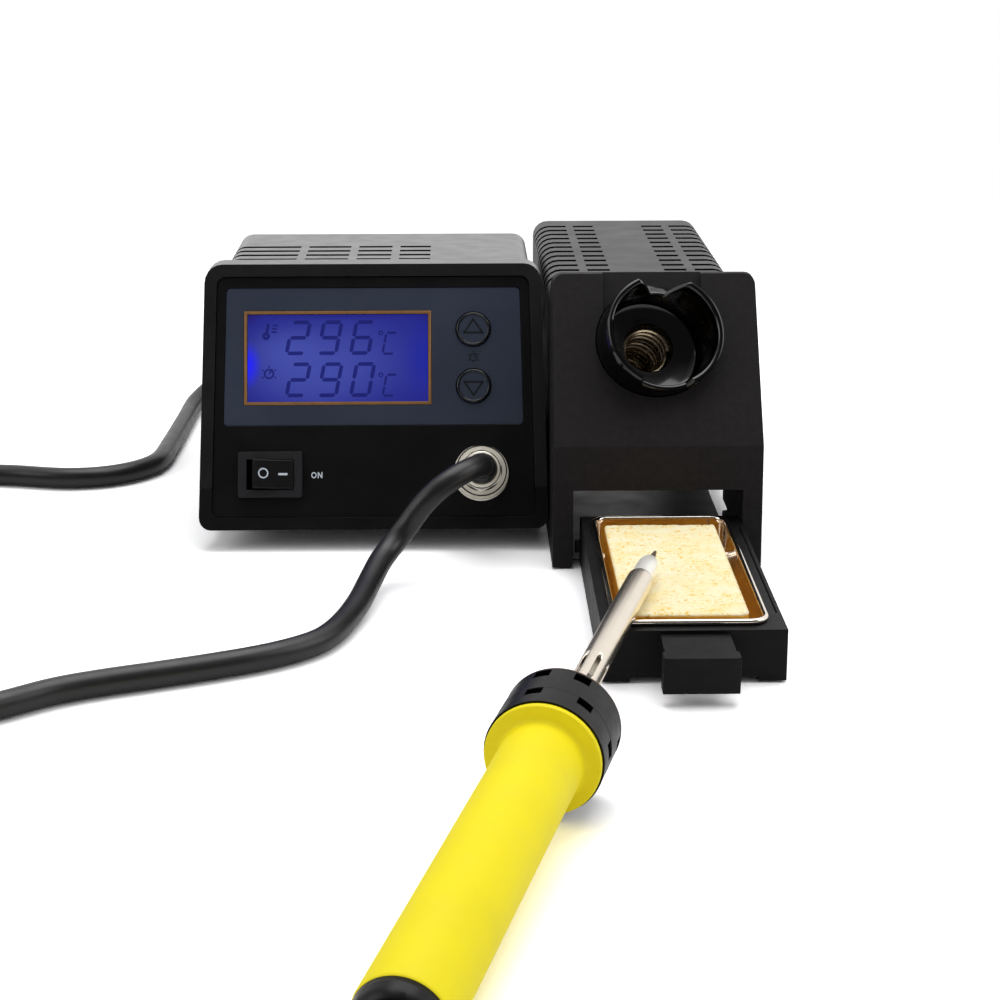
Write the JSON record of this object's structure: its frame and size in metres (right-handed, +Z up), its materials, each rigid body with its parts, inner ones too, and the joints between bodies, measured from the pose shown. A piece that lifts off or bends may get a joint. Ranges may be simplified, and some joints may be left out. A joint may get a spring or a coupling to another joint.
{
  "type": "soldering station",
  "caption": "Soldering station with a leaning display unit, an iron holder hooked to its side, a sponge drawer that slides into the holder, and a corded iron laid across the sponge dish.",
  "frame": {"origin": "on the bench, under the middle of the box round the unit, the holder, the drawer and the iron (the leads are left out)", "axes": "+X to the right as seen by the user, +Y away from the user along the depth of the unit and the drawer's travel, +Z up"},
  "size_m": [0.3947, 0.6056, 0.0926],
  "materials": {
    "case_black": "fine textured black",
    "cover_black": "satin black paint",
    "panel_black": "fine textured black",
    "film_grey": "dark blue-grey display film, smooth",
    "lcd_blue": "lit blue display behind a clear window",
    "bezel_gold": "gold-brown printed border",
    "board_green": "green solder mask",
    "steel": "plain steel",
    "core_steel": "stacked steel sheets",
    "copper_winding": "varnished copper wire",
    "key_rubber": "dark rubber key",
    "switch_black": "smooth black",
    "plug_chrome": "bright nickel plate",
    "feet_rubber": "soft black rubber",
    "cord_black": "satin black cable sheath",
    "pin_metal": "nickel plate",
    "holder_black": "rough black powder coat",
    "shell_black": "satin black paint",
    "funnel_black": "shiny black moulding",
    "spring_wire": "spring wire with a warm tint",
    "drawer_black": "smooth satin black",
    "dish_steel": "bright pressed sheet",
    "sponge_yellow": "yellow cellulose sponge",
    "tip_iron": "plated and heat-tinted",
    "barrel_steel": "satin stainless tube",
    "ceramic_white": "white heater ceramic",
    "collar_yellow": "yellow moulding",
    "collar_black": "black moulding",
    "grip_yellow": "soft yellow rubber"
  },
  "bodies": {
    "station": {"base_tray": "case_black", "top_cover": "cover_black", "front_panel": "panel_black", "rear_panel": "case_black", "display_overlay": "film_grey", "display_bezel": "bezel_gold", "lcd_module": "lcd_blue", "control_board": "board_green", "board_screws": "steel", "transformer_core": "core_steel", "transformer_coil": "copper_winding", "transformer_screws": "steel", "tact_switches": "switch_black", "switch_frame": "switch_black", "switch_terminals": "pin_metal", "socket_body": "plug_chrome", "socket_nut": "plug_chrome", "plug_body": "plug_chrome", "unit_feet": "feet_rubber", "case_screws": "steel", "fuse_holder": "switch_black", "mains_gland": "case_black", "mains_cord": "cord_black", "mains_cord_coil": "cord_black", "mains_plug_body": "cord_black", "mains_plug_pins": "pin_metal", "iron_cord": "cord_black", "iron_cord_coil": "cord_black", "iron_cord_return": "cord_black", "holder_front": "holder_black", "holder_rear": "shell_black", "iron_funnel": "funnel_black", "funnel_screws": "steel", "holder_coil": "spring_wire", "holder_screws": "steel", "holder_link": "case_black", "holder_feet": "feet_rubber"},
    "sponge_drawer": {"drawer": "drawer_black", "sponge_dish": "dish_steel", "sponge": "sponge_yellow"},
    "rocker": {"rocker": "switch_black"},
    "button_up": {"button_up": "key_rubber"},
    "button_down": {"button_down": "key_rubber"},
    "plug_ring": {"plug_ring": "plug_chrome"},
    "iron": {"tip": "tip_iron", "tip_sleeve": "barrel_steel", "heater": "ceramic_white", "barrel": "barrel_steel", "barrel_washer": "barrel_steel", "collar_front": "collar_black", "collar_rear": "collar_black", "handle_core": "collar_black", "grip": "grip_yellow", "handle_screws": "steel", "iron_strain_relief": "feet_rubber"}
  },
  "joints": [
    {"name": "drawer_slide", "type": "slide", "parent": "station", "child": "sponge_drawer", "axis": [0, 1, 0], "range_m": [0, 0.095]},
    {"name": "rocker_tilt", "type": "hinge", "parent": "station", "child": "rocker", "pos_m": [-0.06963, 0.09638, 0.024], "axis": [0, -0.3746, -0.9272], "range_deg": [0, 24]},
    {"name": "button_up_press", "type": "slide", "parent": "station", "child": "button_up", "axis": [0, 0.9272, -0.3746], "range_m": [0, 0.0006], "stiffness_N_per_m": 400},
    {"name": "button_down_press", "type": "slide", "parent": "station", "child": "button_down", "axis": [0, 0.9272, -0.3746], "range_m": [0, 0.0006], "stiffness_N_per_m": 400},
    {"name": "plug_ring_turn", "type": "hinge", "parent": "station", "child": "plug_ring", "pos_m": [0.00172, 0.08971, 0.0267], "axis": [0, -0.9272, 0.3746], "range_deg": [0, 540]},
    {"name": "iron_lift", "type": "slide", "parent": "station", "child": "iron", "axis": [0, 0, 1], "range_m": [0, 0.05]}
  ]
}
